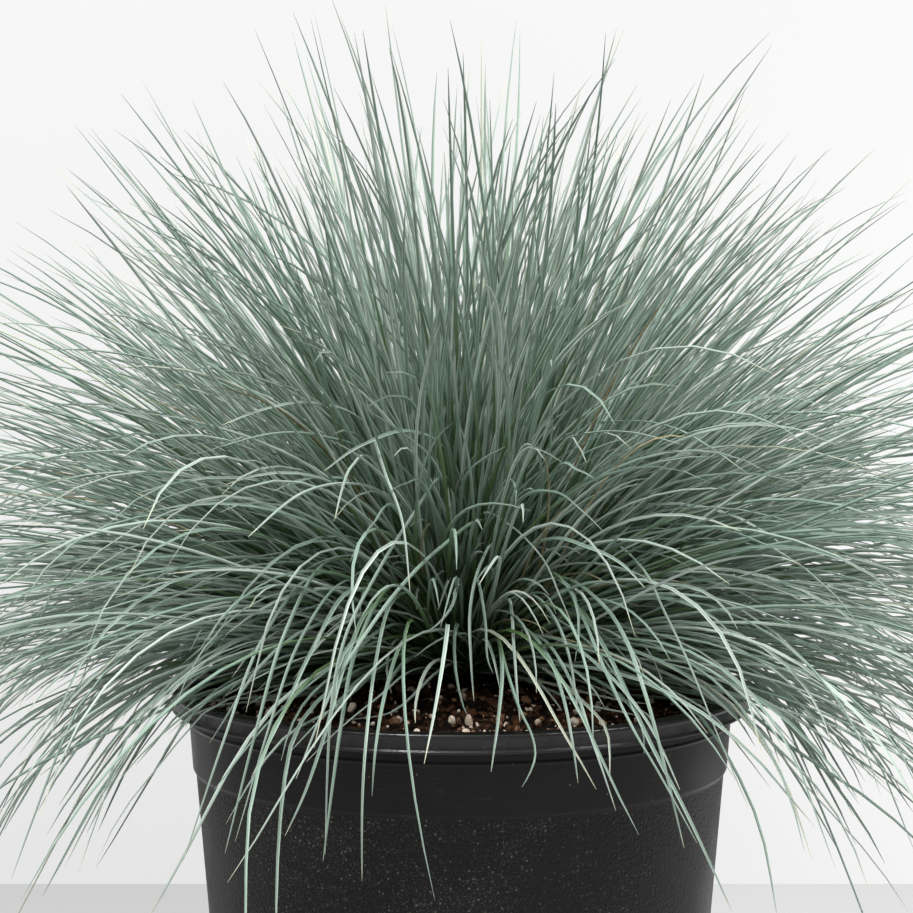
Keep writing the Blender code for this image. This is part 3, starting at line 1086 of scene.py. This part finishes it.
def shoot_heading(index):
    """The frame's shoots stand evenly over a dome, each a golden angle on from the last."""
    share = (index + 0.5) / len(TILLERS)
    lean = math.acos(1 - share * (1 - math.cos(WIDEST_LEAN)))
    return lean, index * GOLDEN_ANGLE % math.tau


def droop_of(lean, bearing):
    facing_front = max(0, -math.sin(bearing)) ** 2
    most = DROOP_SIDE + (DROOP_FRONT - DROOP_SIDE) * facing_front
    return most * (lean / LOWEST_LEAN) ** DROOP_POWER


def lowness(lean):
    """None for a shoot half way down the dome, all for one that lies on the mix."""
    return min(1, max(0, lean - LOW_FROM) / THIN_OVER)


def thinness(lean, bearing):
    """The low front of the clump is thin, so that the crown and the mix show."""
    facing_front = max(0, -math.sin(bearing)) ** 1.6
    low = max(0, (lean - THIN_FROM) / THIN_OVER)
    return facing_front * min(1, low)


def direction(lean, bearing):
    flat = math.sin(lean)
    return Vector((flat * math.cos(bearing), flat * math.sin(bearing), math.cos(lean)))


def spray(name, **values):
    """A spray of leaves from the crown. Width and Material are a leaf's unless others are named."""
    usual = {"Heart": HEART, "Crown_Radius": CROWN_RADIUS, "Width": LEAF_WIDTH, "Material": waxy_leaf}
    return grown(name, leaf_spray, **{**usual, **values})


shoots = []
for index, name in enumerate(TILLERS):
    lean, bearing = shoot_heading(index)
    thin = thinness(lean, bearing)
    rise = FRONT_RISE * thin + SIDE_RISE * lowness(lean)
    shoot = spray(
        "leaves_" + name,
        Leaves=round(LEAVES_EACH * (1 - FRONT_THINNED * thin)),
        Seed=index,
        Axis=direction(lean - rise, bearing),
        Spread=CELL_SPREAD,
        Droop=droop_of(lean, bearing) + DROOP_PER_RISE * rise,
        Shortest=REACH * SHORTEST_SHARE,
        Longest=REACH * LONGEST_SHARE,
    )
    shoots.append(keep(shoot, "blades", name))
print(sum(len(shoot.data.polygons) for shoot in shoots), "faces on", len(shoots), "shoots")

# %% Short arches in front of the crown
arches = spray(
    "short_arches",
    Leaves=95,
    Seed=83,
    Axis=Vector((0, -0.34, 0.94)),
    Spread=0.85,
    Droop=1.15,
    Shortest=60 * MM,
    Longest=150 * MM,
)
keep(arches, "blades")
print("short arches have", len(arches.data.polygons), "faces")

# %% A few dead leaves among the green
dead_leaf = grain_material("dead_leaf", (0.110, 0.090, 0.045), (0.400, 0.360, 0.230), 0.7)
dead = spray(
    "dead_leaves",
    Leaves=36,
    Seed=91,
    Axis=Vector((0, -0.1, 1)),
    Spread=1.5,
    Droop=0.7,
    Shortest=60 * MM,
    Longest=165 * MM,
    Width=0.75 * MM,
    Material=dead_leaf,
)
keep(dead, "blades")
print("dead leaves have", len(dead.data.polygons), "faces")

# %% Leaf bases round the crown
sheaths = spray(
    "leaf_sheaths",
    Leaves=170,
    Seed=70,
    Axis=Vector((0, 0, 1)),
    Spread=1.35,
    Droop=0.1,
    Shortest=12 * MM,
    Longest=38 * MM,
    Heart=HEART - Vector((0, 0, 2 * MM)),
    Crown_Radius=CROWN_RADIUS * 0.95,
    Width=2.1 * MM,
    Material=leaf_sheath,
)
keep(sheaths, "crown", "crown")
print("sheaths have", len(sheaths.data.polygons), "faces")

# %% [markdown]
# ## The arching leaves at the front
#
# Random growth gives the right mass but never the right portrait: in the picture a few dozen
# long leaves arch over the front and hang across the lip, and the eye goes to them first.
# Those we place one by one. Each is a short list of points, given as the picture shows them,
# across and down in pixels, with how far forward of the pot's middle each point is.

# %% From the picture to the plant
camera_turn = camera.rotation_euler.to_matrix()


def seen(across, down, forward):
    """The point that far forward of the pot's axis, in millimetres, seen at that pixel."""
    middle = FRAME_PIXELS / 2
    ray = camera_turn @ Vector((across - middle, middle - down, -FOCAL_PIXELS))
    reach = (-forward * MM - CAMERA_PLACE.y) / ray.y
    return CAMERA_PLACE + ray * reach


# Each leaf from the crown out: (pixels across, pixels down, millimetres forward)
ARCHING_LEAVES = [
    # Arches that cross in front of the crown
    [
        (462, 676, 9), (464, 560, 19), (446, 477, 42), (410, 519, 61), (374, 578, 76), (344, 640, 89),
        (330, 720, 97), (325, 855, 100),
    ],
    [(470, 676, 7), (472, 560, 18), (453, 460, 38), (410, 431, 60), (360, 446, 80), (324, 471, 98)],
    [
        (474, 676, 7), (500, 590, 19), (486, 521, 39), (440, 548, 59), (398, 590, 73), (359, 644, 86),
        (332, 690, 94), (296, 779, 104),
    ],
    [
        (462, 676, 9), (462, 580, 19), (480, 516, 37), (509, 524, 51), (542, 557, 63), (560, 596, 73),
        (573, 627, 79),
    ],
    [(466, 672, 10), (484, 560, 24), (520, 500, 62), (556, 492, 85), (584, 512, 108), (603, 531, 127)],
    # Arches, hooks and tips higher up
    [(468, 668, 4), (500, 540, 14), (548, 452, 43), (584, 434, 62), (630, 432, 81), (684, 445, 100)],
    [(468, 664, 0), (508, 520, 10), (560, 436, 32), (620, 421, 51), (680, 430, 70), (750, 475, 94)],
    [(456, 664, 0), (420, 510, 14), (366, 424, 38), (314, 403, 55), (268, 408, 67), (222, 425, 79)],
    [(456, 666, 4), (420, 540, 18), (372, 458, 38), (320, 436, 56), (270, 434, 70), (204, 452, 84)],
    [(460, 664, 4), (446, 520, 21), (418, 414, 50), (392, 396, 67), (365, 408, 84)],
    [(464, 664, 7), (462, 560, 24), (438, 470, 55), (404, 434, 72), (364, 408, 89)],
    [(458, 664, 10), (420, 520, 35), (378, 440, 60), (384, 470, 77), (402, 520, 94), (410, 592, 108)],
    [(456, 668, 10), (410, 540, 38), (372, 460, 66), (352, 466, 80), (342, 490, 91), (335, 519, 102)],
    [(456, 668, 10), (430, 560, 32), (388, 498, 56), (350, 483, 77), (300, 494, 98), (248, 537, 122)],
    [(458, 668, 14), (430, 580, 38), (394, 507, 66), (374, 522, 84), (358, 545, 98), (350, 562, 105)],
    [(462, 668, 14), (450, 560, 38), (424, 486, 63), (406, 483, 77), (388, 492, 88)],
    [(466, 664, 7), (490, 540, 28), (520, 452, 66), (540, 450, 81), (562, 462, 94)],
    [(466, 664, 7), (520, 520, 28), (564, 442, 66), (578, 446, 81), (586, 462, 94)],
    [(466, 664, 7), (510, 540, 32), (556, 468, 70), (578, 470, 89), (594, 478, 104)],
    [(464, 664, 10), (458, 560, 24), (464, 480, 50), (506, 446, 72)],
    # Falls in the middle and to the right
    [
        (468, 670, 11), (540, 590, 32), (600, 541, 53), (641, 566, 69), (664, 610, 79), (690, 665, 89),
        (716, 730, 97), (749, 809, 104),
    ],
    [(468, 668, 10), (500, 570, 35), (548, 539, 60), (590, 548, 80), (622, 564, 98), (645, 588, 112)],
    [
        (466, 668, 11), (484, 600, 27), (492, 545, 46), (478, 570, 61), (470, 610, 71), (471, 660, 78),
        (474, 701, 81),
    ],
    [(460, 664, 14), (462, 620, 30), (459, 578, 46), (453, 604, 57), (440, 622, 65), (427, 632, 71)],
    [(466, 664, 14), (470, 610, 32), (477, 579, 49), (485, 620, 61), (487, 656, 69), (493, 673, 73)],
    [(470, 664, 14), (492, 620, 32), (509, 599, 49), (514, 650, 65), (517, 690, 73), (520, 722, 78)],
    [
        (474, 670, 17), (484, 645, 32), (496, 634, 49), (506, 668, 70), (519, 707, 84), (530, 730, 91),
        (535, 748, 95), (534, 762, 97), (529, 775, 98), (522, 787, 99),
    ],
    [
        (472, 670, 17), (486, 648, 35), (498, 640, 51), (502, 672, 73), (498, 720, 90), (494, 750, 95),
        (491, 772, 97),
    ],
    [
        (474, 672, 14), (496, 626, 35), (524, 628, 55), (548, 656, 73), (563, 697, 86), (572, 740, 94),
        (578, 783, 98),
    ],
    [(472, 668, 14), (500, 610, 35), (530, 594, 53), (554, 617, 67), (569, 656, 78), (578, 711, 86)],
    [
        (470, 670, 14), (510, 600, 35), (560, 577, 55), (602, 604, 71), (626, 640, 83), (642, 684, 93),
        (658, 740, 99), (684, 848, 106),
    ],
    [
        (470, 668, 11), (508, 592, 32), (552, 572, 53), (580, 612, 69), (604, 668, 84), (632, 727, 97),
        (660, 775, 102), (697, 843, 108),
    ],
    [
        (472, 670, 11), (530, 620, 32), (572, 604, 53), (606, 650, 73), (650, 742, 95), (690, 820, 106),
        (732, 912, 112),
    ],
    [
        (472, 672, 14), (508, 640, 37), (544, 640, 57), (575, 690, 78), (592, 740, 93), (604, 775, 99),
        (616, 811, 102),
    ],
    # Falls over the left of the lip
    [
        (458, 672, 11), (420, 600, 35), (392, 602, 55), (376, 660, 76), (366, 740, 95), (362, 810, 100),
        (362, 881, 102),
    ],
    [
        (458, 672, 11), (424, 596, 35), (388, 588, 55), (356, 650, 76), (342, 720, 93), (332, 790, 100),
        (323, 861, 104),
    ],
    [
        (458, 670, 11), (414, 604, 35), (372, 606, 57), (346, 660, 78), (326, 730, 95), (306, 790, 102),
        (285, 836, 106),
    ],
    [(460, 674, 14), (430, 640, 37), (404, 640, 59), (386, 690, 79), (376, 745, 95), (372, 796, 98)],
    [(456, 670, 11), (410, 610, 35), (352, 590, 61), (312, 650, 81), (280, 720, 97), (251, 778, 104)],
    [(456, 670, 11), (400, 600, 35), (346, 580, 59), (300, 640, 81), (268, 730, 98), (235, 842, 108)],
    [(456, 668, 9), (398, 586, 35), (330, 560, 59), (286, 630, 83), (256, 730, 98), (225, 853, 110)],
    [(456, 668, 9), (390, 590, 32), (316, 574, 57), (262, 640, 79), (224, 740, 95), (183, 862, 104)],
    # Low leaves that lie over the mix
    [(454, 678, 11), (424, 650, 35), (398, 655, 55), (350, 690, 79), (318, 722, 94), (290, 752, 100)],
    [(454, 680, 11), (432, 668, 32), (408, 672, 53), (380, 695, 73), (340, 728, 91), (306, 762, 99)],
    [(452, 676, 9), (420, 640, 32), (380, 640, 57), (330, 668, 79), (270, 720, 95), (214, 790, 106)],
    [(474, 676, 11), (510, 640, 37), (560, 640, 59), (610, 676, 79), (650, 726, 95), (680, 790, 104)],
]
print(len(ARCHING_LEAVES), "leaves placed by hand")

# %% Dress the placed leaves
PLACED_STEPS = 44
PLACED_TINTS = (0.2, 0.7)
PLACED_WIDTH = 1.04 * MM


def placed_graph():
    graph = geometry_graph("placed_leaves")
    [paths] = graph.take("Geometry", "Geometry")
    [seed] = graph.take("Int", "Seed")
    [widest] = graph.take("Float", "Width")
    [material] = graph.take("Material", "Material")
    curves = graph.add("GeometryNodeMeshToCurve", None, Mesh=paths)
    flowing = graph.add("GeometryNodeCurveSplineType", {"spline_type": "CATMULL_ROM"}, Curve=curves)
    even = graph.add("GeometryNodeResampleCurve", None, Curve=flowing, Count=PLACED_STEPS)
    graph.give(dressed_leaves(graph, even, widest, seed, material, PLACED_TINTS))
    return graph


paths = bpy.data.meshes.new("arching_paths")
corners = []
links = []
for leaf in ARCHING_LEAVES:
    start = len(corners)
    corners += [seen(*point) for point in leaf]
    links += [(index, index + 1) for index in range(start, len(corners) - 1)]
paths.from_pydata(corners, links, [])
arching = grown(
    "arching_leaves", placed_graph(), start=paths, Seed=5, Width=PLACED_WIDTH, Material=waxy_leaf
)
keep(arching, "blades")
print("placed leaves have", len(arching.data.polygons), "faces")

# %% A dry scrap on the rim
DRY_SCRAP = [(160, 682, 2), (164, 678, 4), (169, 679, 5), (173, 684, 4)]
scrap_path = bpy.data.meshes.new("scrap_path")
scrap_path.from_pydata([seen(*point) for point in DRY_SCRAP], [(0, 1), (1, 2), (2, 3)], [])
scrap = grown(
    "dry_scrap", placed_graph(), start=scrap_path, Seed=8, Width=2.2 * MM, Material=wood
)
keep(scrap, "potting_mix")
print("scrap has", len(scrap.data.polygons), "faces")

# %% [markdown]
# ## Floor and light
#
# The plant stands on a pale table in front of a white backdrop. The table's colour dims towards
# the left as painted shade. The backdrop is the world itself, nearly even where the camera sees
# it and a little brighter to the right. What lights the plant comes mostly from above, as from a
# studio's soft boxes, so the gaps between leaves fall dark.

# %% Floor
FLOOR_SIDES = (-1.5, 1.5)
FLOOR_FRONT_AND_BACK = (-1.5, 0.46)
TABLE_GREY = (0.38, 0.38, 0.38)
TABLE_CLOUDS = (0.3686, 0.3686, 0.3686)
FULL_BRIGHT_FROM = 0.15
FADE_PER_METRE = 0.75
DIMMEST = 0.8


def table_material():
    """Pale grey, with painted shade that dims it towards the left."""
    material, graph, shader, place = new_material("pale_table")
    colour = graph.blend(graph.noise(place, 3.0, 2.0), TABLE_CLOUDS, TABLE_GREY)
    # Painted shade: the colour dims towards the left, as if less light fell there.
    shade = (1 + (place.parts()[0] - FULL_BRIGHT_FROM) * FADE_PER_METRE).clamp(DIMMEST, 1.0)
    graph.feed_all(shader, Base_Color=colour * shade, Roughness=0.6)
    return material


floor_mesh = bpy.data.meshes.new("floor")
floor_corners = [(x, y, 0) for y in FLOOR_FRONT_AND_BACK for x in FLOOR_SIDES]
floor_mesh.from_pydata(floor_corners, [], [(0, 1, 3, 2)])
floor = add_object("floor", floor_mesh)
dress(floor, table_material())
print("floor ready")

# %% White room
# (height from straight down to straight up, brightness)
ROOM_LIGHT = [(0, 0.05), (0.45, 0.16), (0.62, 0.45), (1, 1.25)]
WALL_LIGHT = [(0, 0.74), (0.36, 0.75), (0.48, 0.90), (0.56, 0.94)]
WALL_GREY = (0.9, 0.9, 0.9)


def studio_world():
    world = bpy.data.worlds.new("white_room")
    world.use_nodes = True
    graph = Graph(world.node_tree)
    backdrop = world.node_tree.nodes["Background"]
    towards_x, towards_y, height = graph.add("ShaderNodeTexCoord").other("Generated").parts()
    behind = towards_y.clamp() ** 2.0 * (1 - height.size() * 1.6).clamp()

    def by_height(stops):
        greys = [(place, (grey, grey, grey)) for place, grey in stops]
        return graph.add("ShaderNodeValToRGB", {"stops": greys}, height * 0.5 + 0.5)

    lit_wall = graph.blend(behind * 0.6, by_height(ROOM_LIGHT), WALL_GREY)
    brighter = 1 + towards_x.clamp() * (0.36 - height * 2.8).clamp(0.08, 1.0)
    seen_wall = by_height(WALL_LIGHT) * brighter
    looked_at = graph.add("ShaderNodeLightPath")
    graph.feed_all(backdrop, Color=graph.blend(looked_at, lit_wall, seen_wall))
    return world


bpy.context.scene.world = studio_world()
print("world ready")


# %% Lights
def area_light(name, place, target, size, power):
    data = bpy.data.lights.new(name, "AREA")
    data.shape = "DISK"
    data.size = size
    data.energy = power
    light = add_object(name, data)
    light.location = place
    light.rotation_euler = (Vector(target) - Vector(place)).to_track_quat("-Z", "Y").to_euler()


area_light("key", place=(-0.5, -0.7, 1.7), target=(0, 0, 0.22), size=0.6, power=46)
area_light("fill", place=(1.0, -0.5, 1.3), target=(0, 0, 0.2), size=0.8, power=17)
bpy.context.scene.view_settings.view_transform = "Standard"
bpy.context.scene.cycles.use_denoising = True
print("lights ready")
